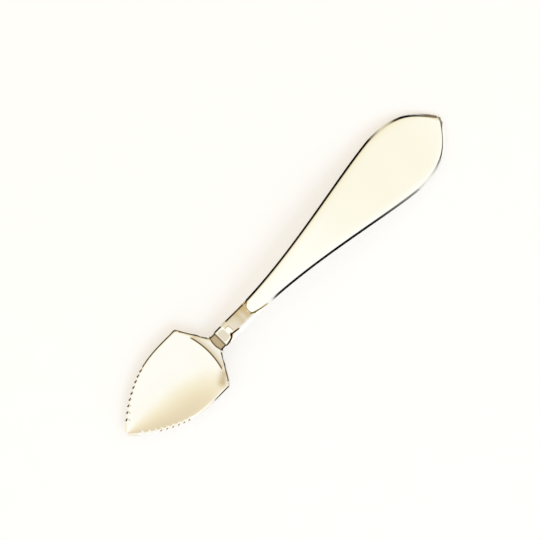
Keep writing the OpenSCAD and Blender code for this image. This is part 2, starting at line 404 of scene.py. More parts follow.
@dataclass(frozen=True)
class Patch:
    """A rounded square in the neck's painted shade, with soft edges. The facet's lays the shade on, and the
    spot's cuts it away to leave a painted highlight.

    Attributes:
        middle: Its middle, as distances along from the handle's mouth and across.
        half: Half its length and half its width at the mouth.
        power: How square it is: 2 for an ellipse, more for a squarer one.
        edge: Where its soft edge starts and ends, as shares of its half sizes.
        shear: How far its middle moves along for each millimetre across.
        taper: How much its half width loses for each millimetre along.
    """

    middle: tuple[float, float]
    half: tuple[float, float]
    power: float
    edge: tuple[float, float]
    shear: float = 0.0
    taper: float = 0.0

    def cover(self, s: Array, y: Array) -> Array:
        """Return 1 in the patch, 0 outside it and a smooth step of (|u|^p + |v|^p)^(1 / p).

        Args:
            s: Stations.
            y: Distances across.

        Returns:
            How much of the patch covers each point.
        """
        along = s - LINES.mouth_s
        u = (along - self.middle[0] - self.shear * y) / self.half[0]
        v = (y - self.middle[1]) / (self.half[1] - self.taper * along)
        far = (np.abs(u) ** self.power + np.abs(v) ** self.power) ** (1 / self.power)
        return 1 - ramp(far, *self.edge)


# Meshes

MERGE_M = 2e-7  # points closer than this are one point
SHARP = math.radians(40)  # faces that meet at more than this keep a sharp edge


def ring_grid(s: Array, y: Array, z: Array) -> Array:
    """Return points of rings in the spoon's frame.

    Args:
        s: Stations, one for each ring or one for each point.
        y: Distances across, one row a ring.
        z: Heights, one row a ring.

    Returns:
        An array of rings by points by three, in millimetres.
    """
    x = np.broadcast_to(s, y.shape) - LINES.overall_l / 2
    return np.stack([x, y, z], axis=-1)


def looped(over: Array, back: Array) -> Array:
    """Return rings that run along one row of values and back along another."""
    return np.concatenate([over, back[:, ::-1]], 1)


def closed(s: Array, y: Array, top: Array, low: Array) -> Array:
    """Return rings from an upper and a lower surface over the same plan.

    Args:
        s: Stations, one for each ring or one for each point.
        y: Distances across from the -Y to the +Y side, one row a ring.
        top: Heights of the upper surface.
        low: Heights of the lower surface.

    Returns:
        Rings that run over the top and back below.
    """
    both = np.broadcast_to(s, y.shape)
    return ring_grid(looped(both, both), looped(y, y), looped(top, low))


class Ends(Enum):
    """How the two ends of a lofted skin are closed."""

    LIDS = "flat lids across the first and the last ring"
    LOOP = "the last ring joins the first, which leaves a hole right through"


def skin_piece(
    name: str, rings: Array, ends: Ends, tones: dict[str, Array] | None = None
) -> bpy.types.Object:
    """Make a closed mesh from rings that run round the piece.

    Ring r and point c give the quad (r, c), (r+1, c), (r+1, c+1), (r, c+1), with c taken
    round the ring, which faces outwards where each ring runs from -Y over the top to +Y and
    back below. A lid is a row of quads between a ring's upper and lower halves.

    Args:
        name: Name of the piece.
        rings: Rings by points by three, in millimetres, an even number of points each.
        ends: How the ends are closed.
        tones: Named values for each point, kept as mesh attributes.

    Returns:
        The new object at the origin.
    """
    rows, count = rings.shape[:2]
    loop = ends is Ends.LOOP
    r = np.arange(rows if loop else rows - 1)[:, None]
    c = np.arange(count)[None, :]
    after, beside = (r + 1) % rows, (c + 1) % count
    quads = np.stack([r * count + c, after * count + c, after * count + beside, r * count + beside], -1)
    faces = [quads.reshape(-1, 4)]
    if not loop:
        up = np.arange(count // 2 - 1)
        low = count - 1 - up
        lid = np.stack([up, up + 1, low - 1, low], -1)
        faces += [lid, lid[:, ::-1] + (rows - 1) * count]
    mesh = bpy.data.meshes.new(name)
    mesh.from_pydata(rings.reshape(-1, 3) * MM, [], np.concatenate(faces))
    for label, values in (tones or {}).items():
        layer = mesh.attributes.new(label, "FLOAT", "POINT")
        layer.data.foreach_set("value", values.astype(np.float32).ravel())
    merged = bmesh.new()
    merged.from_mesh(mesh)
    bmesh.ops.remove_doubles(merged, verts=merged.verts, dist=MERGE_M)
    merged.to_mesh(mesh)
    merged.free()
    mesh.polygons.foreach_set("use_smooth", np.ones(len(mesh.polygons), bool))
    mesh.set_sharp_from_angle(angle=SHARP)
    piece = bpy.data.objects.new(name, mesh)
    bpy.context.scene.collection.objects.link(piece)
    return piece


def hand_over(piece: bpy.types.Object, node: str, finish: "Finish") -> None:
    """Put a finished piece in its CAD node's place.

    Args:
        piece: The new piece.
        node: The CAD node that it stands for.
        finish: What its surface is made of.
    """
    piece.data.materials.append(finish.build())
    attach(piece, "root")
    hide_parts(node)
    triangles = sum(len(p.vertices) - 2 for p in piece.data.polygons)
    LOG.info("%s stands for %s: %d triangles, %s", piece.name, node, triangles, finish.name)


# Finishes

FACTOR, FIRST, SECOND, MIXED = 0, 6, 7, 2  # inputs of a colour Mix node, and its output


def linear(colour: str, alpha: float = 1.0) -> tuple[float, float, float, float]:
    """Turn an sRGB colour to the linear one that nodes take.

    Args:
        colour: The colour as a hex value.
        alpha: Its opacity.

    Returns:
        Linear red, green, blue and alpha.
    """
    parts = [int(colour[i : i + 2], 16) / 255 for i in (1, 3, 5)]
    light = [p / 12.92 if p <= 0.04045 else ((p + 0.055) / 1.055) ** 2.4 for p in parts]
    return (light[0], light[1], light[2], alpha)


def plug(node: bpy.types.Node, inputs: dict[Any, Any]) -> None:
    """Set and link a node's inputs.

    Args:
        node: The node.
        inputs: Input name or number to an output socket, or to a plain value.
    """
    for key, value in inputs.items():
        if isinstance(value, bpy.types.NodeSocket):
            node.id_data.links.new(value, node.inputs[key])
        else:
            node.inputs[key].default_value = value


def add_node(
    tree: bpy.types.NodeTree, kind: str, inputs: dict[Any, Any] | None = None, **settings: Any
) -> bpy.types.Node:
    """Add a node with its settings and links.

    Args:
        tree: The node tree.
        kind: The node's type name.
        inputs: What is plugged into it.
        settings: Properties of the node.

    Returns:
        The new node.
    """
    node = tree.nodes.new(kind)
    for name, value in settings.items():
        setattr(node, name, value)
    plug(node, inputs or {})
    return node


def colour_stops(node: bpy.types.Node, stops: list[tuple[float, tuple[float, float, float, float]]]) -> None:
    """Give a colour ramp its stops.

    Args:
        node: The colour ramp's node.
        stops: Place from 0 to 1 and linear colour of each stop, in rising order.
    """
    band = node.color_ramp
    while len(band.elements) > 1:
        band.elements.remove(band.elements[-1])
    band.elements[0].position, band.elements[0].color = stops[0]
    for place, colour in stops[1:]:
        band.elements.new(place).color = colour


@dataclass(frozen=True)
class Finish:
    """What every finish has.

    Attributes:
        name: Name of the material and of how its surface was made.
        colour: Its colour as an sRGB hex value.
    """

    name: str
    colour: str

    def start(self) -> tuple[bpy.types.Material, bpy.types.NodeTree, bpy.types.Node, bpy.types.NodeSocket]:
        """Start the material.

        Returns:
            A new material, its tree, its Principled shader and the object coordinates.
        """
        material = bpy.data.materials.new(self.name)
        material.use_nodes = True
        tree = material.node_tree
        shader = next(n for n in tree.nodes if n.type == "BSDF_PRINCIPLED")
        place = add_node(tree, "ShaderNodeTexCoord").outputs["Object"]
        return material, tree, shader, place

    def build(self) -> bpy.types.Material:
        """Return the finished material."""
        raise NotImplementedError


@dataclass(frozen=True)
class PolishedMetal(Finish):
    """A metal buffed to a mirror on cloth wheels.

    The eye sees the surroundings in it, slightly veiled: a haze that comes and goes in
    clouds the size of a fingertip, and buffing lines along the piece.

    Attributes:
        cloud_colour: The metal where its haze is thickest.
        painted_shade: The metal's colour where the "tarnish" attribute is 1: painted shade and painted dark
            reflections, brown.
        painted_black: Painted black shade in the crevices, where that attribute is 2.
        roughness: Least and greatest roughness.
        cloud_mm: Size of the clouds of haze.
        line_mm: Spacing of the buffing lines. Real ones are some hundredths of a
            millimetre apart, which is too fine to show, so they are drawn coarser.
        line_drawn_out: How many times longer than wide the buffing lines are.
        line_height_mm: Height of the buffing lines.
        noise_span: Usual least and greatest sum of the two noises.
    """

    cloud_colour: str = "#FFFFFF"
    # Painted shade: brown where the shade attribute is 1, black where it is 2.
    painted_shade: str = "#000000"
    painted_black: str = "#0C0A07"
    roughness: tuple[float, float] = (0.05, 0.1)
    cloud_mm: float = 14.0
    line_mm: float = 0.25
    line_drawn_out: float = 50.0
    line_height_mm: float = 0.0004
    noise_span: tuple[float, float] = (0.6, 1.4)

    def build(self) -> bpy.types.Material:
        """Make the material: haze and lines from noise, painted shade from the attribute.

        Returns:
            The finished material.
        """
        material, tree, shader, place = self.start()
        clouds = add_node(
            tree, "ShaderNodeTexNoise", {"Vector": place, "Scale": 1 / (self.cloud_mm * MM), "Detail": 3.0}
        ).outputs["Fac"]
        drawn_out = add_node(
            tree, "ShaderNodeMapping", {"Vector": place, "Scale": (1 / self.line_drawn_out, 1.0, 1.0)}
        )
        lines = add_node(
            tree,
            "ShaderNodeTexNoise",
            {"Vector": drawn_out.outputs["Vector"], "Scale": 1 / (self.line_mm * MM), "Detail": 2.0},
        ).outputs["Fac"]
        haze = add_node(
            tree,
            "ShaderNodeMix",
            {FACTOR: clouds, FIRST: linear(self.colour), SECOND: linear(self.cloud_colour)},
            data_type="RGBA",
        )
        # The attribute holds painted shade, which browns the metal up to 1 and blackens it from 1 to 2.
        shade_level = add_node(tree, "ShaderNodeAttribute", attribute_name="painted_shade").outputs["Fac"]
        browned = add_node(
            tree,
            "ShaderNodeMix",
            {FACTOR: shade_level, FIRST: haze.outputs[MIXED], SECOND: linear(self.painted_shade)},
            data_type="RGBA",
        )
        past = add_node(tree, "ShaderNodeMath", {0: shade_level, 1: 1.0}, operation="SUBTRACT", use_clamp=True)
        blackened = add_node(
            tree,
            "ShaderNodeMix",
            {FACTOR: past.outputs["Value"], FIRST: browned.outputs[MIXED], SECOND: linear(self.painted_black)},
            data_type="RGBA",
        )
        both = add_node(tree, "ShaderNodeMath", {0: clouds, 1: lines}, operation="ADD").outputs["Value"]
        (least, most), (low, high) = self.noise_span, self.roughness
        rough = add_node(
            tree,
            "ShaderNodeMapRange",
            {"Value": both, "From Min": least, "From Max": most, "To Min": low, "To Max": high},
        )
        bump = add_node(
            tree, "ShaderNodeBump", {"Height": lines, "Distance": self.line_height_mm * MM, "Strength": 1.0}
        )
        plug(
            shader,
            {
                "Metallic": 1.0,
                "Base Color": blackened.outputs[MIXED],
                "Roughness": rough.outputs["Result"],
                "Normal": bump.outputs["Normal"],
            },
        )
        return material


@dataclass(frozen=True)
class SetCement(Finish):
    """Cement that was poured in hot and set dull, with grains and small pores.

    The eye sees no shine on it, only its grains.

    Attributes:
        grain_colour: Colour of the coarse grains.
        grain_mm: Size of the grains.
        grain_height_mm: How far they stand out.
        roughness: How dull it is.
    """

    grain_colour: str = "#8C8177"
    grain_mm: float = 0.6
    grain_height_mm: float = 0.1
    roughness: float = 0.9

    def build(self) -> bpy.types.Material:
        """Make the material: grains from noise, which also roughen it.

        Returns:
            The finished material.
        """
        material, tree, shader, place = self.start()
        grains = add_node(
            tree, "ShaderNodeTexNoise", {"Vector": place, "Scale": 1 / (self.grain_mm * MM), "Detail": 6.0}
        ).outputs["Fac"]
        toned = add_node(
            tree,
            "ShaderNodeMix",
            {FACTOR: grains, FIRST: linear(self.colour), SECOND: linear(self.grain_colour)},
            data_type="RGBA",
        )
        bump = add_node(
            tree, "ShaderNodeBump", {"Height": grains, "Distance": self.grain_height_mm * MM, "Strength": 1.0}
        )
        plug(
            shader,
            {
                "Base Color": toned.outputs[MIXED],
                "Roughness": self.roughness,
                "Normal": bump.outputs["Normal"],
            },
        )
        return material


@dataclass(frozen=True)
class MattPaper(Finish):
    """Matt paper under the spoon, lit so that it reads as a plain pale ground.

    Attributes:
        fibre_colour: The paper where its fibres are thinnest.
        glow: How much of the paper that the eye sees is its own even colour. The rest is
            lit, so it keeps the spoon's shadow.
        glow_colour: That even colour, warmer than the paper, which makes the shadow warm.
        fibre_mm: Size of the paper's faint clouding.
    """

    fibre_colour: str = "#FFFFFF"
    glow: float = 0.5
    glow_colour: str = "#FDF5EE"
    fibre_mm: float = 9.0

    def build(self) -> bpy.types.Material:
        """Make the material: a diffuse sheet, evened out for all but the diffuse rays.

        Returns:
            The finished material.
        """
        material, tree, shader, place = self.start()
        clouds = add_node(
            tree, "ShaderNodeTexNoise", {"Vector": place, "Scale": 1 / (self.fibre_mm * MM), "Detail": 4.0}
        ).outputs["Fac"]
        tone = add_node(
            tree,
            "ShaderNodeMix",
            {FACTOR: clouds, FIRST: linear(self.colour), SECOND: linear(self.fibre_colour)},
            data_type="RGBA",
        )
        plug(shader, {"Base Color": tone.outputs[MIXED], "Roughness": 1.0, "Specular IOR Level": 0.0})
        rays = add_node(tree, "ShaderNodeLightPath").outputs
        seen = rays["Is Camera Ray"]
        for kind in ("Is Glossy Ray", "Is Transmission Ray"):
            seen = add_node(
                tree, "ShaderNodeMath", {0: seen, 1: rays[kind]}, operation="MAXIMUM"
            ).outputs["Value"]
        share = add_node(tree, "ShaderNodeMath", {0: seen, 1: self.glow}, operation="MULTIPLY")
        even = add_node(tree, "ShaderNodeEmission", {"Color": linear(self.glow_colour), "Strength": 1.0})
        mixed = add_node(
            tree,
            "ShaderNodeMixShader",
            {0: share.outputs["Value"], 1: shader.outputs["BSDF"], 2: even.outputs["Emission"]},
        )
        output = next(n for n in tree.nodes if n.type == "OUTPUT_MATERIAL")
        plug(output, {"Surface": mixed.outputs["Shader"]})
        return material


# Each metal's brown for the shade attribute below is painted shade, not its own colour.
BOWL_STEEL = PolishedMetal(
    "stainless_steel_buffed",
    "#FCFBF5",
    cloud_colour="#F7F4EA",
    painted_shade="#B89B5E",
    roughness=(0.07, 0.13),
    cloud_mm=11.0,
)
COLLAR_METAL = PolishedMetal(
    "nickel_silver_tarnished",
    "#D6C5A8",
    cloud_colour="#BCA987",
    painted_shade="#6A583E",
    roughness=(0.18, 0.3),
    cloud_mm=3.0,
)
HANDLE_METAL = PolishedMetal(
    "silver_plate_polished",
    "#FDFEFA",
    cloud_colour="#FBFBF5",
    painted_shade="#BC9E5C",
    roughness=(0.05, 0.1),
)
CEMENT = SetCement("cement_set", "#6F655C")
GROUND = MattPaper("paper_matt", "#FDFDFA")


# Pieces


@dataclass(frozen=True)
class Joint:
    """The bowed line where the shank ends and the collar starts.

    Attributes:
        middle: How far the line lies towards the bowl in the middle.
        sides: How far it lies towards the handle at the sides.
        run: Length over which the rings straighten again.
    """

    middle: float = 0.42
    sides: float = 0.4
    run: float = 1.6

    def shift(self, s: Array, v: Array) -> Array:
        """Return how far a ring's points move along: (a v^2 - b), fading out from the joint.

        Args:
            s: Stations.
            v: Shares of the half width.

        Returns:
            Distances along, negative towards the bowl.
        """
        near = 1 - ramp(np.abs(s - LINES.root_s), 0, self.run)
        return near * ((self.middle + self.sides) * v * v - self.middle)


@dataclass(frozen=True)
class Bowl:
    """The bowl with its shank and tang, stamped in one and toothed on both front edges.

    In its painted shade 1 is brown and 2 is black: shade and dark reflections painted into its colour.

    Attributes:
        joint: The line where the shank ends.
        depth: Depth of the hollow.
        edge_t: Thickness at the edge.
        tip_power: How steeply the hollow falls from the tip.
        side_power: How softly it rises to the sides.
        edge_roll: Width of the strip that is rolled over along the edge.
        edge_steep: Slope of that strip at the edge itself, on the -Y and the +Y side.
        edge_under: Rounding of the edge's underside.
        rim_w: Width of the rim beside the hollow.
        deep_s: Station of the hollow's deepest point.
        web_l: Length of the web between the heel's ridge and the collar.
        heel_bow: How far the ridge bows towards the handle in the middle.
        heel_half: Half the ridge's length.
        heel_step: Share of the depth that falls in the step at the ridge.
        heel_power: How short that step is.
        floor_round: How softly the hollow runs out along and across, as shares of the depth.
        least_half: Least half width of the hollow, near the tip.
        foot_cut: How much the foot is cut flat.
        keel_gap: How far past the deepest point the foot ends.
        keel_powers: How full the underside is towards the tip and across.
        web_power: How flat the web's top is across.
        teeth: Number of teeth on a side.
        tooth_pitch: Spacing of the teeth.
        tooth_run: Length of a tooth's straight edge.
        tooth_lean: How far that edge leans in over its length, less than 0 for out.
        tooth_blur: How far to each side the toothed edge's angle is smoothed.
        first_tooth_s: Station of the first tooth's point.
        shank_t: Thickness of the shank.
        shank_slopes: Slopes of the web's top at the ridge and at the collar, and of the
            underside at the collar.
        tang_w: Width of the tang.
        tang_t: Thickness of the tang.
        tang_l: Length of the tang.
        tang_end_share: Share of its width and thickness that the tang keeps at its end.
        ridge_dark: Painted shade in the ridge's foot, a dark line.
        ridge_reach: How far that reaches to each side.
        web_dark: Painted shade of the web beside the ridge, the tan that it mirrors.
        web_reach: How far that reaches towards the collar.
        corner_dark: Painted dark reflection on the +Y corner's edge.
        corner_at: Station of that, and how far it reaches.
        teeth_dark: Painted dark reflections on the edge of the -Y side's teeth.
        dark_run: Middle and reach of that on a tooth, as shares of the pitch.
        unshaded_teeth: Number of the first teeth that have none.
        dark_edge: Distances from the edge where the painted shade on it starts to fade and ends.
        shade: The painted brown shade by the -Y corner.
        cells: Cells across.
        tip_rings: Rings between the tip and the first tooth.
        tooth_rings: Rings along a tooth's edge and along the step behind it.
        close_s: Station from which the rings lie close together.
        ring_gaps: Their spacing before and after that station.
        root_rings: Number of rings before the collar, and the length that they share.
        tang_rings: Number of rings of the tang.
    """

    joint: Joint
    depth: float = 4.4
    edge_t: float = 0.7
    tip_power: float = 1.55
    side_power: float = 1.15
    edge_roll: float = 1.0
    edge_steep: tuple[float, float] = (1.03, 0.95)
    edge_under: float = 0.12
    rim_w: float = 0.8
    deep_s: float = 24.0
    web_l: float = 3.2
    heel_bow: float = 1.05
    heel_half: float = 7.4
    heel_step: float = 0.07
    heel_power: float = 40.0
    floor_round: tuple[float, float] = (0.006, 0.02)
    least_half: float = 0.3
    foot_cut: float = 0.15
    keel_gap: float = 3.0
    keel_powers: tuple[float, float] = (2.2, 2.2)
    web_power: float = 3.0
    teeth: int = 9
    tooth_pitch: float = 1.85
    tooth_run: float = 1.147
    tooth_lean: float = -0.05
    tooth_blur: float = 0.12
    first_tooth_s: float = 3.0
    shank_t: float = 3.4
    shank_slopes: tuple[float, float, float] = (0.05, 0.3, 0.25)
    tang_w: float = 3.0
    tang_t: float = 1.8
    tang_l: float = 22.0
    tang_end_share: float = 0.6
    ridge_dark: float = 2.6
    ridge_reach: float = 0.2
    web_dark: float = 0.75
    web_reach: float = 1.5
    corner_dark: float = 2.0
    corner_at: tuple[float, float] = (36.2, 0.9)
    teeth_dark: float = 1.8
    dark_run: tuple[float, float] = (0.33, 0.17)
    unshaded_teeth: int = 3
    dark_edge: tuple[float, float] = (0.2, 0.5)
    shade: ShadeLine = ShadeLine(0.66, 1.6, ((35.2, -10.7), (37.6, -9.0)))
    cells: int = 90
    tip_rings: int = 34
    tooth_rings: tuple[int, int] = (15, 10)
    close_s: float = 34.0
    ring_gaps: tuple[float, float] = (0.3, 0.08)
    root_rings: tuple[int, float] = (8, 0.25)
    tang_rings: int = 16

    @property
    def heel_s(self) -> float:
        """Station of the heel's ridge in the middle."""
        return LINES.root_s - self.web_l

    @property
    def last_tooth_s(self) -> float:
        """Station where the step behind the last tooth ends."""
        return self.first_tooth_s + self.teeth * self.tooth_pitch

    @property
    def tang_s(self) -> float:
        """Station of the tang's end."""
        return LINES.mouth_s + self.tang_l

    def stations(self) -> Array:
        """Return the rings' stations: close at the tip, the teeth, the corner and the heel.

        Returns:
            One rising list.
        """
        on_edge, on_step = self.tooth_rings
        tooth = np.concatenate(
            [
                np.linspace(0, self.tooth_run, on_edge),
                np.linspace(self.tooth_run, self.tooth_pitch, on_step + 1)[1:],
            ]
        )
        rows = self.first_tooth_s + self.tooth_pitch * np.arange(self.teeth)[:, None] + tooth
        (wide, close), (count, run) = self.ring_gaps, self.root_rings
        return joined(
            gathered(TIP_GAP, self.first_tooth_s, self.tip_rings),
            rows.ravel(),
            np.arange(self.last_tooth_s, self.close_s, wide),
            np.arange(self.close_s, LINES.root_s, close),
            gathered(LINES.root_s, LINES.root_s - run, count),
        )

    def toothed(self, s: Array) -> Array:
        """Return half the width with the teeth.

        From each tooth's point the edge runs nearly straight back, then it steps out to the
        next point, and all the points lie on the outline.

        Args:
            s: Stations.

        Returns:
            The half width at each station.
        """
        number = np.floor((s - self.first_tooth_s) / self.tooth_pitch + 1e-6)
        start = self.first_tooth_s + self.tooth_pitch * number
        along = s - start
        here, after = LINES.half_width(start), LINES.half_width(start + self.tooth_pitch)
        step = held((along - self.tooth_run) / (self.tooth_pitch - self.tooth_run))
        run = here - self.tooth_lean * held(along / self.tooth_run)
        toothy = (s > self.first_tooth_s) & (s < self.last_tooth_s)
        return np.where(toothy, mix(run, after, step), LINES.half_width(s))

    def past_ridge(self, s: Array, y: Array) -> Array:
        """Return how far points lie past the heel's ridge, which follows an arc, a parabola in y."""
        return s + self.heel_bow * (y / self.heel_half) ** 2 - self.heel_s

    def hollow(self, s: Array, y: Array, half: Array, lean: Array) -> Array:
        """Return the hollow's depth below the rim.

        A product of a curve along the bowl and of (1 - v^2) to a power across it, which keeps
        the sides shallow enough to mirror the ceiling. Beyond the deepest point the curve
        along is 1 - (1 - m) t^2 - m t^n, which ends in a short steep step at the heel's
        ridge, and t follows the ridge's arc.

        Args:
            s: Stations.
            y: Distances across.
            half: Half widths, teeth left out.
            lean: Cosines of the outline's angle.

        Returns:
            Depths, 0 on the rim and past the ridge.
        """
        t = self.past_ridge(s, y) + self.heel_s
        to_heel = np.maximum(t - self.deep_s, 0) / (self.heel_s - self.deep_s)
        step = self.heel_step * np.minimum(to_heel, 1.5) ** self.heel_power
        heel = 1 - (1 - self.heel_step) * to_heel**2 - step
        to_deep = swell(t / self.deep_s, self.tip_power)
        round_along, round_across = self.floor_round
        along = np.where(t <= self.deep_s, to_deep, soft_max(heel, 0, round_along))
        side = np.maximum(half - self.rim_w / lean, self.least_half)
        return self.depth * along * soft_max(1 - (y / side) ** 2, 0, round_across) ** self.side_power

    def keel(self, s: Array) -> Array:
        """Return the height of the underside along the middle.

        Args:
            s: Stations.

        Returns:
            A swell from the tip, the level foot, and a cubic up to the collar.
        """
        keel_s = self.deep_s + self.keel_gap
        root_z = LINES.rim_z - LINES.shank_drop - self.shank_t / 2
        from_tip = swell(s / self.deep_s, self.keel_powers[0])
        to_tip = mix(LINES.rim_z - self.edge_t, -self.foot_cut, from_tip)
        to_root = glide(s, (keel_s, -self.foot_cut, 0.0), (LINES.root_s, root_z, self.shank_slopes[2]))
        return np.where(s <= self.deep_s, to_tip, np.where(s <= keel_s, -self.foot_cut, to_root))

    def painted_shade(self, s: Array, y: Array, inside: Array) -> Array:
        """Return the painted shade and the painted dark reflections.

        It lies in the ridge's foot, on the web, by one corner, on the other corner's edge
        and on the edge of the -Y side's teeth. Most of it is a bell curve of the distance
        from its line or spot, and on the web it dies away.

        Args:
            s: Stations.
            y: Distances across.
            inside: Distances from the toothed edge.

        Returns:
            The darkest of these at each point.
        """
        past = self.past_ridge(s, y)
        beside = held(self.heel_half + 0.5 - np.abs(y))
        edge = 1 - ramp(inside, *self.dark_edge)
        corner_s, corner_reach = self.corner_at
        number = (s - self.first_tooth_s) / self.tooth_pitch
        middle, run = self.dark_run
        on_run = bell(number % 1 - middle, run) * (number > self.unshaded_teeth) * (number < self.teeth)
        # Painted shade: the ridge's dark line, the web's tan, the shade by the -Y corner, and painted dark
        # reflections on the +Y corner's edge and the -Y teeth.
        tones = [
            self.ridge_dark * bell(past, self.ridge_reach) * beside,
            self.web_dark * ramp(past, 0.0, 0.3) * np.exp(-np.maximum(past, 0) / self.web_reach) * beside,
            self.shade.tone(s, y),
            self.corner_dark * bell(s - corner_s, corner_reach) * edge * (y > 0),
            self.teeth_dark * on_run * edge * (y < 0),
        ]
        return np.max(tones, axis=0)

    def rings(self) -> tuple[Array, dict[str, Array]]:
        """Work out the whole stamping.

        The top is the rim less the hollow, raised to the web's crown past the ridge, and
        the underside is a power of the share across between the edge and the keel.

        Returns:
            The bowl's, the shank's and the tang's rings, and their painted shade.
        """
        s = self.stations()[:, None]
        v = across(self.cells)[None, :]
        half, lean = LINES.half_width(s), LINES.lean(s)
        toothed = self.toothed(s)
        y = half * v - (half - toothed) * v**3
        heel, root = self.heel_s, LINES.root_s
        shank_edge = self.shank_t / 4
        rim_z, root_z = LINES.rim_z, LINES.rim_z - LINES.shank_drop
        low_z = rim_z - self.edge_t
        at_ridge, at_collar, _ = self.shank_slopes
        on_bowl = s <= heel
        up_edge = np.where(on_bowl, rim_z, glide(s, (heel, rim_z, 0), (root, root_z + shank_edge, 0)))
        low_edge = np.where(on_bowl, low_z, glide(s, (heel, low_z, 0), (root, root_z - shank_edge, 0)))
        crown = glide(s, (heel, rim_z, at_ridge), (root, root_z + self.shank_t / 2, at_collar))
        web = np.where(on_bowl, rim_z, crown)
        top = up_edge - self.hollow(s, y, half, lean) + (web - up_edge) * (1 - np.abs(v) ** self.web_power)
        low = low_edge - (low_edge - self.keel(s)) * (1 - np.abs(y / half) ** self.keel_powers[1])
        edge_lean = 1 / np.hypot(1, slope(self.toothed, s, self.tooth_blur))
        inside = (toothed - np.abs(y)) * edge_lean
        top = top - rolled(inside, self.edge_roll, steepness(v, self.edge_steep))
        low = np.maximum(low + self.edge_under * (1 - quarter(inside / (2 * self.edge_under))), 0)
        middle = (top[:, :1] + low[:, :1]) / 2
        shut = at_cut_end(root - s)
        top, low = middle + (top - middle) * shut, middle + (low - middle) * shut
        body = closed(s + self.joint.shift(s, v), y, top, low)
        bar = self.bar(np.linspace(root, self.tang_s, self.tang_rings)[:, None], v)
        tone = self.painted_shade(s, y, inside)
        tones = np.concatenate([np.concatenate([tone, 0 * tone], 1), np.zeros(bar.shape[:2])])
        return np.concatenate([body, bar]), {"painted_shade": tones}

    def bar(self, s: Array, v: Array, gap: float = 0.0) -> Array:
        """Return rings of the tang, a tapering rounded bar.

        Args:
            s: Stations.
            v: Shares of the half width.
            gap: How much the bar is grown on every side.

        Returns:
            Its rings, whose halves rise by a quarter and a quarter (1 - |v|^3) of the thickness.
        """
        taper = mix(1.0, self.tang_end_share, held((s - LINES.root_s) / (self.tang_s - LINES.root_s)))
        wide, thick = self.tang_w * taper + 2 * gap, self.tang_t * taper + 2 * gap
        rise = thick * (1 + (1 - np.abs(v) ** 3)) / 4
        return closed(s, wide / 2 * v, LINES.seam(s) + rise, LINES.seam(s) - rise)

    def build(self) -> None:
        """Make the bowl and hand it over."""
        grid, tones = self.rings()
        hand_over(skin_piece("toothed_bowl", grid, Ends.LIDS, tones), "bowl", BOWL_STEEL)


class Shell(Enum):
    """The two shells, each with its name, its CAD node and the side of the seam it is on."""

    FRONT = ("front_shell", "handle_front_shell", 1.0)
    BACK = ("back_shell", "handle_back_shell", -1.0)


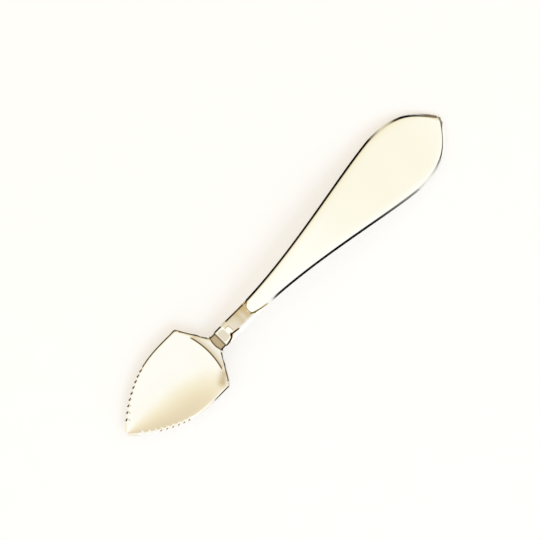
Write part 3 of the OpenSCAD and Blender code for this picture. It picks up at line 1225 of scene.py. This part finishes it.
@dataclass(frozen=True)
class HandleShells:
    """The two pressed shells of the handle, soldered along the seam.

    In its painted shade 1 is brown and 2 is black: shade, the tan that the neck mirrors and dark reflections,
    painted into its colour, with painted highlights where it is left out.

    Attributes:
        mouth_t: Thickness of the handle at its mouth.
        face_h: Height of the flat face above the seam.
        back_h: Depth of the back below the seam.
        tip_t: Thickness at the handle's tip.
        edge_roll: Width of the strip that is rolled over along the face's edge.
        tip_roll: Its width at the handle's tip.
        roll_power: How long that strip stays steep before it levels out.
        edge_steep: Slope of that strip at the edge itself, on the -Y and the +Y side.
        neck_roll: Width of the rolled strip along the neck's edge.
        neck_steep: Slope of that strip at the edge itself, on the -Y and the +Y side.
        steep_kept: Share of that slope that is left where the face starts.
        eased: Share of that slope that is lost on the +Y side just behind the facet.
        eased_from: Where that starts, from the facet's end.
        eased_to: Stations where it ends.
        neck_crown: How much the neck's top falls to its edges, at the facet and at the face.
        pillow: How much lower the face is at its edge because it swells a little.
        tip_pillow: The same at the handle's tip.
        tip_run: Stations between which the face changes to the tip's values.
        pillow_w: Width of that swelling.
        face_gain: How much higher the neck's swell would be past the face's start.
        face_run: Length over which it rises there, which gives the face's end its U.
        back_power: How full the back is across.
        back_round: Half width up to which the back is shallower.
        shell_wall: Thickness of the sheet.
        facet_l: Length of the facet behind the collar.
        facet_drop: How far the facet is cut into the neck.
        facet_rise: Length over which the neck rises behind it.
        spigot_l: How far the collar reaches into the mouth.
        tip_solid: Length of the solid tip.
        tip_dome: Length over which the cavity closes before it.
        seam_bevel: Rounding of each shell's edge at the seam, which leaves a fine line.
        crease: How sharply the neck's swell meets the flat face.
        tone_s: Stations at which the neck's painted shade is given.
        tones: The neck's painted shade there, the tan that the neck mirrors.
        pale_side: Share of it that is left on the -Y side, which is painted paler as it mirrors the bright
            side of the room.
        pale_v: Shares of the half width between which that changes.
        neck_only_s: Stations between which the painted shade starts to keep off the face.
        facet_dark: Painted shade of the facet, inside its rim, which is left bright as a painted highlight.
        facet: The facet's painted dark part, in the middle of facet_l.
        spot: A painted highlight: a bright spot just behind the facet, where the painted shade is left out.
        crease_dark: Painted shade in the crease round the face's end.
        crease_reach: How far under the face the neck lies where that has faded.
        crease_v: Shares of the half width between which it ends at the sides.
        crease_s: Stations between which it starts, and between which it ends.
        shade_lines: Painted black shade in the crevices: the arm that goes on from the crease, the line
            behind the spot, the facet's -Y edge, its corner, and the line behind that.
        back_dark: Painted shade of the back at its mouth.
        back_dark_s: Stations between which that fades.
        cells: Cells across.
        close_s: Stations where the rings' spacing changes: behind the facet, before the
            face's start and after it.
        ring_gaps: The spacing at these two places, between them, and on the handle.
        tip_rings: Number of rings at the tip, and the length that they share.
    """

    mouth_t: float = 3.9
    face_h: float = 2.43
    back_h: float = 2.7
    tip_t: float = 2.4
    edge_roll: float = 1.15
    tip_roll: float = 1.45
    roll_power: float = 5.0
    edge_steep: tuple[float, float] = (0.95, 0.86)
    neck_roll: float = 0.9
    neck_steep: tuple[float, float] = (0.58, 0.5)
    steep_kept: float = 0.75
    eased: float = 0.6
    eased_from: tuple[float, float] = (-0.4, 0.2)
    eased_to: tuple[float, float] = (49.8, 50.8)
    neck_crown: tuple[float, float] = (0.28, 0.4)
    pillow: float = 0.3
    tip_pillow: float = 0.05
    tip_run: tuple[float, float] = (138.0, 148.0)
    pillow_w: float = 4.0
    face_gain: float = 0.45
    face_run: float = 7.0
    back_power: float = 2.4
    back_round: float = 1.2
    shell_wall: float = 0.6
    facet_l: float = 3.3
    facet_drop: float = 0.35
    facet_rise: float = 1.3
    spigot_l: float = 1.5
    tip_solid: float = 4.0
    tip_dome: float = 1.5
    seam_bevel: float = 0.05
    crease: float = 0.02
    tone_s: tuple[float, ...] = (48.3, 49.8, 51.0, 53.0, 54.7, 55.9, 57.1, 58.3, 66.0)
    tones: tuple[float, ...] = (0.33, 0.36, 0.42, 0.5, 0.68, 0.54, 0.74, 0.76, 0.66)
    pale_side: float = 0.15
    pale_v: tuple[float, float] = (-0.75, -0.45)
    neck_only_s: tuple[float, float] = (58.0, 58.2)
    facet_dark: float = 0.46
    facet: Patch = Patch((1.65, 0.1), (1.65, 2.45), 5.0, (0.72, 1.0), taper=0.12)
    spot: Patch = Patch((4.15, -0.1), (0.95, 1.4), 3.0, (0.75, 1.1), shear=0.1)
    crease_dark: float = 1.4
    crease_reach: float = 0.06
    crease_v: tuple[float, float] = (0.85, 0.7)
    crease_s: tuple[tuple[float, float], tuple[float, float]] = ((58.2, 58.5), (60.0, 64.0))
    shade_lines: tuple[ShadeLine, ...] = (
        ShadeLine(
            2.6,
            0.2,
            ((58.4, -1.25), (59.2, -1.75), (60.0, -2.0), (62.2, -2.57), (64.1, -2.85), (65.6, -3.15)),
            ((59.0, 64.0, 1 / 2.6), (63.5, 65.7, 1.0)),
        ),
        ShadeLine(1.0, 0.17, ((48.6, 1.4), (50.0, 1.25), (50.35, -0.85))),
        ShadeLine(3.5, 0.26, ((45.1, -3.0), (46.6, -2.8), (48.1, -2.35), (48.75, -1.5))),
        ShadeLine(4.0, 0.36, ((48.55, -1.75), (48.8, -1.45))),
        ShadeLine(4.0, 0.22, ((48.9, -1.5), (50.6, -1.72), (52.0, -1.93)), ((50.8, 52.3, 0.55),)),
    )
    back_dark: float = 0.3
    back_dark_s: tuple[float, float] = (46.0, 58.0)
    cells: int = 90
    close_s: tuple[float, float, float] = (52.0, 57.5, 66.5)
    ring_gaps: tuple[float, float, float] = (0.1, 0.25, 0.5)
    tip_rings: tuple[int, float] = (60, 8.0)

    @property
    def facet_s(self) -> float:
        """Station where the facet behind the collar ends."""
        return LINES.mouth_s + self.facet_l

    def stations(self) -> Array:
        """Return the rings' stations: close at the facet, the face's start and the tip.

        Returns:
            One rising list.
        """
        mouth, end = LINES.mouth_s, LINES.overall_l
        after_facet, before_face, after_face = self.close_s
        close, middling, wide = self.ring_gaps
        count, run = self.tip_rings
        return joined(
            gathered(mouth, mouth + END_ROUND, 6),
            np.arange(mouth + 2 * close, after_facet, close),
            np.arange(after_facet, before_face, middling),
            np.arange(before_face, after_face, close),
            np.arange(after_face, end - run, wide),
            gathered(end - TIP_GAP, end - run, count),
        )

    def neck_top(self, s: Array) -> Array:
        """Return the neck's height above the seam in the middle.

        Args:
            s: Stations.

        Returns:
            A smooth step up to the face's height, and a swell on from there.
        """
        far = mix(self.mouth_t / 2 + self.facet_drop, self.face_h, ramp(s, self.facet_s, LINES.face_s))
        past = self.face_h * (1 + self.face_gain * held((s - LINES.face_s) / self.face_run) ** 0.6)
        return np.where(s <= LINES.face_s, far, past)

    def neck(self, s: Array, v: Array, inside: Array) -> Array:
        """Return the neck's height above the seam.

        It is crowned by (1 - c v^2), cut flat across by the facet, and rolled over along
        its edges.

        Args:
            s: Stations.
            v: Shares of the half width.
            inside: Distances from the outline.

        Returns:
            Heights, which go on under the face.
        """
        rise_s = self.facet_s + self.facet_rise
        to_face = ramp(s, rise_s, LINES.face_s)
        neck = self.neck_top(s) * (1 - mix(*self.neck_crown, to_face) * v * v)
        facet = self.mouth_t / 2 + 2 * self.facet_drop * ramp(s, self.facet_s, rise_s)
        neck = np.where(s < rise_s, soft_min(neck, facet, 0.02), neck)
        start, end = self.eased_from
        behind = ramp(s, self.facet_s + start, self.facet_s + end) * (1 - ramp(s, *self.eased_to))
        steep = steepness(v, self.neck_steep) * mix(1.0, self.steep_kept, to_face)
        steep = steep * (1 - self.eased * behind * ramp(v, 0.2, 0.6))
        return neck - rolled(inside, self.neck_roll, steep)

    def face(self, s: Array, v: Array, inside: Array, lean: Array, to_tip: Array) -> Array:
        """Return the flat face's height above the seam.

        It swells a little like a pillow, by (1 - u)^3, and is rolled over along its edges.
        The roll's slope allows for the pillow's own and for the seam's rise beside it.

        Args:
            s: Stations.
            v: Shares of the half width.
            inside: Distances from the outline.
            lean: Cosines of the outline's angle.
            to_tip: Shares of the way from the widest place to the tip.

        Returns:
            Heights, which go on over the neck.
        """
        tip_share = ramp(s, *self.tip_run)
        pillow = mix(self.pillow, self.tip_pillow, tip_share)
        roll = mix(self.edge_roll, self.tip_roll, tip_share)
        added = 3 * pillow / self.pillow_w + slope(LINES.seam, s) * slope(LINES.half_width, s) * lean
        steep = steepness(v, self.edge_steep) - added
        tall = mix(self.face_h, self.tip_t / 2, to_tip)
        swelling = pillow * (1 - held(inside / self.pillow_w)) ** 3
        return tall - swelling - rolled(inside, roll, steep, self.roll_power)

    def heights(self, s: Array, v: Array) -> tuple[Array, Array, Array]:
        """Return the outside's heights.

        The front is the lower of the neck and the face. Where they cross, the face starts
        in the shape of a U. The back is a superellipse.

        Args:
            s: Stations.
            v: Shares of the half width.

        Returns:
            Heights above and below the seam, and how far the neck lies under the face.
        """
        half, lean = LINES.half_width(s), LINES.lean(s)
        inside = nearer(half * (1 - np.abs(v)) * lean, LINES.overall_l - s)
        to_tip = ramp(s, LINES.widest_s, LINES.overall_l)
        neck = self.neck(s, v, inside)
        face = self.face(s, v, inside, lean, to_tip)
        front = soft_min(neck, face, self.crease)
        deep = mix(self.mouth_t / 2, self.back_h, ramp(s, LINES.mouth_s, LINES.face_s))
        deep = mix(deep, self.tip_t / 2, to_tip)
        bent = np.maximum(1 - np.abs(v) ** self.back_power, 0) ** (1 / self.back_power)
        back = deep * bent * quarter(half * lean / self.back_round)
        return np.maximum(front, 0), np.minimum(back, LINES.seam(s)), face - neck

    def painted_shade(self, s: Array, v: Array, half: Array, below: Array) -> Array:
        """Return the front's painted shade and painted highlights, which the neck has and the face has not.

        Painted tones along the neck, lighter on its -Y side, a facet with a bright rim, a painted highlight
        spot behind it, painted black shade in the crevices round both, and a painted dark line in the face's
        crease.

        Args:
            s: Stations.
            v: Shares of the half width.
            half: Half widths.
            below: How far the neck lies under the face.

        Returns:
            The darkest of these at each point.
        """
        y = v * half
        side = mix(self.pale_side, 1.0, ramp(v, *self.pale_v))
        on_neck = np.maximum(ramp(below, -0.01, 0.01), 1 - ramp(s, *self.neck_only_s))
        neck = np.interp(s, self.tone_s, self.tones) * side * (1 - self.spot.cover(s, y)) * on_neck
        tone = np.where(s < self.facet_s, self.facet_dark * self.facet.cover(s, y), neck)
        in_crease = bell(below, self.crease_reach) * ramp(np.abs(v), *self.crease_v)
        start, end = self.crease_s
        along_crease = ramp(s, *start) * (1 - ramp(s, *end))
        shade_lines = [mark.tone(s, y) for mark in self.shade_lines]
        return np.max([tone, self.crease_dark * in_crease * along_crease, *shade_lines], axis=0)

    def rings(self, shell: Shell) -> tuple[Array, dict[str, Array]]:
        """Work out one shell, with a bevelled lip along the seam and the sheet's thickness.

        Args:
            shell: Which of the two.

        Returns:
            The shell's rings and its painted shade.
        """
        s = self.stations()[:, None]
        v = across(self.cells)[None, :]
        half, seam = LINES.half_width(s), LINES.seam(s)
        up, down, below = self.heights(s, v)
        front, sign = shell is Shell.FRONT, shell.value[2]
        outer = (up if front else down) * at_cut_end(s - LINES.mouth_s)
        # At the tip the bevel and the wall give way to what is left of the width.
        bevel = np.minimum(self.seam_bevel, half * 0.3)
        outer = np.maximum(outer, np.minimum(bevel, seam))
        hollow = held((LINES.overall_l - self.tip_solid - s) / self.tip_dome)
        inner_half = np.maximum(half - self.shell_wall, half * 0.5)
        inner = hollow * np.maximum(outer - self.shell_wall, 0)
        lip_y = np.concatenate([-(half - bevel), -(half - 0.3 * bevel)], 1)
        lip_z = np.concatenate([0 * half, np.minimum(0.3 * bevel, seam)], 1)
        outside = (
            np.concatenate([lip_y, half * v, -lip_y[:, ::-1]], 1),
            seam + sign * np.concatenate([lip_z, outer, lip_z[:, ::-1]], 1),
        )
        pad = 2 * [1]
        inside = (
            inner_half * np.concatenate([-np.ones((1, 2)), v, np.ones((1, 2))], 1),
            seam + sign * np.concatenate([inner[:, :1] * pad, inner, inner[:, -1:] * pad], 1),
        )
        (up_y, up_z), (low_y, low_z) = (outside, inside) if front else (inside, outside)
        # The front takes its painted shade and highlights, the back a painted shade that fades from its
        # mouth.
        if front:
            tone = self.painted_shade(s, v, half, below)
        else:
            tone = self.back_dark * (1 - ramp(s, *self.back_dark_s)) + 0 * v
        tone = np.concatenate([tone[:, :1] * pad, tone, tone[:, -1:] * pad], 1)
        return ring_grid(s, looped(up_y, low_y), looped(up_z, low_z)), {"painted_shade": looped(tone, tone)}

    def build(self) -> None:
        """Make both shells and hand them over."""
        for shell in Shell:
            name, node, _ = shell.value
            grid, tones = self.rings(shell)
            hand_over(skin_piece(name, grid, Ends.LIDS, tones), node, HANDLE_METAL)


@dataclass(frozen=True)
class NeckCollar:
    """The grooved band that closes the handle's mouth round the shank.

    In its painted shade 1 is brown and 2 is black: shade and dark reflections painted into its colour.

    Attributes:
        joint: The line where the collar meets the shank.
        bowl: The bowl, whose tang goes through the collar.
        shells: The handle, whose form the collar goes on with.
        groove: Depth of the groove.
        groove_end: How far from the shank the groove ends, just before the mouth.
        wall: Length of the groove's steep walls.
        lead: How far before the collar the first wall starts.
        end_less: How much lower the band is at its edge by the mouth.
        fit_gap: Gap round the spigot and the tang.
        edge_land: Half the height of the band's sides.
        groove_dark: Painted shade in the groove.
        line_dark: Painted shade in the lines along its walls.
        line_at: Middle and reach of those lines, from the groove's ends.
        side_dark: Painted dark reflection on the band's upper half at its -Y and its +Y side.
        side_v: Shares of the half width between which that starts, on each side.
        cells: Cells across.
        edge_run: Length by the groove's ends over which the rings lie close together.
        ring_counts: Rings by the shank, in the groove, at its end and by the mouth.
    """

    joint: Joint
    bowl: Bowl
    shells: HandleShells
    groove: float = 0.28
    groove_end: float = 2.45
    wall: float = 0.22
    lead: float = 0.1
    end_less: float = 0.08
    fit_gap: float = 0.05
    edge_land: float = 0.15
    groove_dark: float = 0.2
    line_dark: float = 0.9
    line_at: tuple[float, float, float] = (0.12, -0.1, 0.2)
    side_dark: tuple[float, float] = (2.0, 0.6)
    side_v: tuple[tuple[float, float], tuple[float, float]] = ((0.8, 0.9), (0.86, 0.97))
    cells: int = 60
    edge_run: float = 0.3
    ring_counts: tuple[int, int, int, int] = (8, 12, 12, 8)

    def rings(self) -> tuple[Array, dict[str, Array]]:
        """Work out the collar.

        The band's outside is the neck's form less a groove with steep walls, of which one
        stands at the mouth and leaves only a fine bead.

        Returns:
            Rings along the outside and back through the hole, and their painted shade.
        """
        v = across(self.cells)[None, :]
        start, mouth = LINES.root_s, LINES.mouth_s
        end, run = self.groove_end, self.edge_run
        bounds = (0.0, run, end - run, end + self.lead, mouth - start)
        stretches = zip(bounds[:-1], bounds[1:], self.ring_counts)
        d = joined(*(np.linspace(low, high, count) for low, high, count in stretches))[:, None]
        s = start + d
        seam = LINES.seam(s)
        up, down, _ = self.shells.heights(np.maximum(s, mouth), v)
        less = self.groove * ramp(d, -self.lead, self.wall) * (1 - ramp(d, end - self.wall, end))
        less = less + self.end_less * (1 - quarter((mouth - s) / END_ROUND))
        kept = 1 - less / self.shells.mouth_t
        land = self.edge_land
        half = LINES.half_width(s) - less
        shift = self.joint.shift(s, v) * (1 - held(d / end))
        band = closed(s + shift, half * v, seam + land + up * kept, seam - land - down * kept)
        inside = np.array([[mouth], [mouth + self.shells.spigot_l]])
        wall, gap = self.shells.shell_wall, self.fit_gap
        up_in, down_in, _ = self.shells.heights(inside, v)
        seam_in = LINES.seam(inside)
        spigot = closed(
            inside,
            (LINES.half_width(inside) - wall - gap) * v,
            seam_in + np.maximum(up_in - wall - gap, gap),
            seam_in - np.maximum(down_in - wall - gap, gap),
        )
        hole = self.bowl.bar(np.linspace(mouth + self.shells.spigot_l, start, 5)[:, None], v, gap)
        grid = np.concatenate([band, spigot, hole])
        # Painted shade in the groove and along its walls, and painted dark reflections on the band's sides.
        first, last, reach = self.line_at
        lines = held(bell(d - first, reach) + bell(d - end - last, reach))
        tone = self.groove_dark * held(less / self.groove) + self.line_dark * lines
        (low_dark, high_dark), (low_v, high_v) = self.side_dark, self.side_v
        sides = high_dark * ramp(v, *high_v) + low_dark * ramp(-v, *low_v)
        tone = np.maximum(tone, np.concatenate([sides, 0 * sides], 1))
        # The hidden spigot and hole take the painted shade's brown in full.
        unseen = np.ones((len(spigot) + len(hole), grid.shape[1]))
        return grid, {"painted_shade": np.concatenate([tone, unseen])}

    def build(self) -> None:
        """Make the collar and hand it over."""
        grid, tones = self.rings()
        collar = skin_piece("band_collar", grid, Ends.LOOP, tones)
        hand_over(collar, "neck_collar", COLLAR_METAL)


@dataclass(frozen=True)
class HandleFilling:
    """The cement round the tang. It is sealed inside, so its CAD solid stays as it is.

    Attributes:
        node: Its CAD node.
    """

    node: str = "tang_cement"

    def build(self) -> None:
        """Give the CAD solid its finish."""
        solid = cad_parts[self.node]
        solid.data.materials.clear()
        solid.data.materials.append(CEMENT.build())
        LOG.info("%s keeps its CAD solid: %s", self.node, CEMENT.name)


# Surroundings


@dataclass(frozen=True)
class Table:
    """The paper that the spoon lies on, large enough to fill every view from above.

    Attributes:
        half_mm: Half the sheet's side.
    """

    half_mm: float = 4000.0

    def build(self) -> None:
        """Make the sheet at z = 0."""
        h = self.half_mm * MM
        mesh = bpy.data.meshes.new("paper_sheet")
        mesh.from_pydata([(-h, -h, 0), (h, -h, 0), (h, h, 0), (-h, h, 0)], [], [(0, 1, 2, 3)])
        mesh.materials.append(GROUND.build())
        sheet = bpy.data.objects.new("paper_sheet", mesh)
        bpy.context.scene.collection.objects.link(sheet)


@dataclass(frozen=True)
class Studio:
    """A white ceiling over a darker room, one large lamp, a pale card, and the camera.

    The polished metal mirrors the room: its faces take the ceiling's tones, and its rolled
    edges the walls', which is where the dark lines round the spoon come from. At the bowl's corner, the teeth
    and the collar's sides they are also painted dark reflections.

    Attributes:
        ceiling: Colours of the ceiling, each with the part of its direction that points to
            the ceiling's tan side: -1 is the far side, 0 overhead and 1 the tan side.
        walls: Colours of the walls round the table, each with its bearing in degrees from
            +X. A colour ramp takes no more than these 32.
        wall_top: Heights, as the Z part of the direction, where the walls end and the
            ceiling starts.
        tan_side: Bearing of the ceiling's tan side in degrees from +Y towards +X.
        brightness: Strength of the whole room.
        lamp_at: The lamp's place in metres.
        lamp_size: Side of the square lamp in metres.
        lamp_power: Its power in watts.
        lamp_colour: Its colour, cooler than the room, which leaves its shadows warm.
        card_y: Distance of the pale card that stands on the table along the -Y side, in
            metres. It lifts the dark wall from the edges that mirror it.
        card_x: Its left and its right end in metres.
        card_h: Its height in metres.
        lens_mm: Focal length of the camera's lens.
        turn_deg: Bearing of the picture's right, in degrees from +X.
        frame_mm: Width of the picture, measured at the aim.
        aim_right_mm: How far right of the origin the camera aims.
        aim_up_mm: How far up the picture it aims.
        aim_z_mm: How far above the table it aims.
        camera_lean: How far the camera leans from straight above towards -Y, in degrees.
    """

    ceiling: tuple[tuple[float, str], ...] = (
        (-1.0, "#FFFFFF"),
        (-0.22, "#FFFFFC"),
        (0.0, "#FFFEF8"),
        (0.37, "#F8F1DC"),
        (0.69, "#EFE3C8"),
        (0.88, "#E7D9BE"),
        (1.0, "#DCCDB0"),
    )
    walls: tuple[tuple[float, str], ...] = (
        (-180, "#FFFCF4"),
        (-108, "#E8E6E0"),
        (-105.5, "#A8A6A0"),
        (-102, "#0A0908"),
        (-84, "#0A0908"),
        (-82, "#62605C"),
        (-77, "#B0AEA8"),
        (-73, "#DCDAD6"),
        (-67, "#F4F3EE"),
        (-57, "#C8C6C0"),
        (-55, "#BAB8B2"),
        (-50, "#7C7870"),
        (-46, "#0A0806"),
        (-39.5, "#060504"),
        (-36, "#3A362C"),
        (-34, "#6A6252"),
        (-30, "#7A705E"),
        (0, "#8C806C"),
        (32, "#7E7058"),
        (35.5, "#403422"),
        (38, "#1A120A"),
        (41, "#060302"),
        (52, "#060302"),
        (56, "#A09480"),
        (58, "#C8BEA4"),
        (66, "#DCD4BC"),
        (73, "#52483A"),
        (77.5, "#0C0804"),
        (110, "#100C06"),
        (120, "#8A8070"),
        (130, "#F4ECDC"),
        (180, "#FFFCF4"),
    )
    wall_top: tuple[float, float] = (0.22, 0.34)
    tan_side: float = 25.0
    brightness: float = 1.05
    lamp_at: tuple[float, float, float] = (-0.15, -0.55, 0.95)
    lamp_size: float = 0.5
    lamp_power: float = 3.6
    lamp_colour: tuple[float, float, float] = (0.5, 0.7, 1.0)
    card_y: float = -0.3
    card_x: tuple[float, float] = (-0.27, -0.064)
    card_h: float = 0.09
    lens_mm: float = 180.0
    turn_deg: float = -45.2
    frame_mm: float = 181.3
    aim_right_mm: float = -4.63
    aim_up_mm: float = 1.88
    aim_z_mm: float = 5.0
    camera_lean: float = 2.1

    def sky(self) -> None:
        """Make the surroundings: a ramp of the ceiling and a ramp of the walls by bearing."""
        world = bpy.data.worlds.new("studio_room")
        bpy.context.scene.world = world
        world.use_nodes = True
        tree = world.node_tree
        look = add_node(tree, "ShaderNodeTexCoord").outputs["Generated"]
        part = add_node(tree, "ShaderNodeSeparateXYZ", {"Vector": look}).outputs
        tan = math.radians(self.tan_side)
        towards = add_node(
            tree,
            "ShaderNodeVectorMath",
            {0: look, 1: (math.sin(tan), math.cos(tan), 0.0)},
            operation="DOT_PRODUCT",
        )
        over = add_node(
            tree,
            "ShaderNodeMapRange",
            {"Value": towards.outputs["Value"], "From Min": -1.0, "From Max": 1.0},
        )
        ceiling = add_node(tree, "ShaderNodeValToRGB", {"Fac": over.outputs["Result"]})
        colour_stops(ceiling, [((share + 1) / 2, linear(c)) for share, c in self.ceiling])
        bearing = add_node(tree, "ShaderNodeMath", {0: part["Y"], 1: part["X"]}, operation="ARCTAN2")
        turn = add_node(
            tree,
            "ShaderNodeMapRange",
            {"Value": bearing.outputs["Value"], "From Min": -math.pi, "From Max": math.pi},
        )
        walls = add_node(tree, "ShaderNodeValToRGB", {"Fac": turn.outputs["Result"]})
        colour_stops(walls, [((a + 180) / 360, linear(c)) for a, c in self.walls])
        low, high = self.wall_top
        above = add_node(
            tree,
            "ShaderNodeMapRange",
            {"Value": part["Z"], "From Min": low, "From Max": high},
            interpolation_type="SMOOTHSTEP",
        )
        room = add_node(
            tree,
            "ShaderNodeMix",
            {
                FACTOR: above.outputs["Result"],
                FIRST: walls.outputs["Color"],
                SECOND: ceiling.outputs["Color"],
            },
            data_type="RGBA",
        )
        background = next(n for n in tree.nodes if n.type == "BACKGROUND")
        plug(background, {"Color": room.outputs[MIXED], "Strength": self.brightness})

    def lamp(
        self, name: str, at: Vector, towards: Vector, size: tuple[float, float], power: float
    ) -> bpy.types.Object:
        """Make an area lamp, which the camera doesn't see and the metal doesn't mirror.

        Args:
            name: Its name.
            at: Its place in metres.
            towards: The point that it faces.
            size: Width and height in metres.
            power: Watts.

        Returns:
            The lamp's object.
        """
        data = bpy.data.lights.new(name, "AREA")
        data.shape = "RECTANGLE"
        data.size, data.size_y = size
        data.energy = power
        holder = bpy.data.objects.new(name, data)
        holder.location = at
        holder.rotation_euler = (towards - at).to_track_quat("-Z", "Y").to_euler()
        holder.visible_camera = False
        holder.visible_glossy = False
        bpy.context.scene.collection.objects.link(holder)
        return holder

    def light(self) -> None:
        """Light the scene: the room, the softbox, and the card, which the metal mirrors."""
        self.sky()
        softbox = self.lamp(
            "softbox", Vector(self.lamp_at), Vector((0, 0, 0)), (self.lamp_size,) * 2, self.lamp_power
        )
        softbox.data.color = self.lamp_colour
        left, right = self.card_x
        middle = Vector(((left + right) / 2, self.card_y, self.card_h / 2))
        size = (right - left, self.card_h)
        card = self.lamp("pale_card", middle, middle + Vector((0, 1, 0)), size, math.pi * size[0] * size[1])
        card.visible_glossy = True

    def shoot(self) -> None:
        """Make the camera: from above, turned so that the handle points up and right."""
        data = bpy.data.cameras.new("overhead")
        data.lens = self.lens_mm
        turn, lean = math.radians(self.turn_deg), math.radians(self.camera_lean)
        right = Vector((math.cos(turn), math.sin(turn), 0))
        up = Vector((-math.sin(turn), math.cos(turn), 0))
        aim = (right * self.aim_right_mm + up * self.aim_up_mm + Vector((0, 0, self.aim_z_mm))) * MM
        back = Vector((0, -math.sin(lean), math.cos(lean)))
        far = self.frame_mm * self.lens_mm / data.sensor_width * MM
        upright = (up - back * up.dot(back)).normalized()
        turned = Matrix((upright.cross(back), upright, back)).transposed()
        camera = bpy.data.objects.new("overhead", data)
        camera.location = aim + back * far
        camera.rotation_euler = turned.to_euler()
        bpy.context.scene.collection.objects.link(camera)
        bpy.context.scene.camera = camera
        bpy.context.scene.view_settings.view_transform = "Standard"


def main() -> None:
    """Build the spoon, its surroundings and the camera."""
    logging.basicConfig(level=logging.INFO, format="%(name)s: %(message)s")
    joint = Joint()
    bowl = Bowl(joint=joint)
    shells = HandleShells()
    bowl.build()
    NeckCollar(joint=joint, bowl=bowl, shells=shells).build()
    shells.build()
    HandleFilling().build()
    Table().build()
    studio = Studio()
    studio.light()
    studio.shoot()


if __name__ == "__main__":
    main()
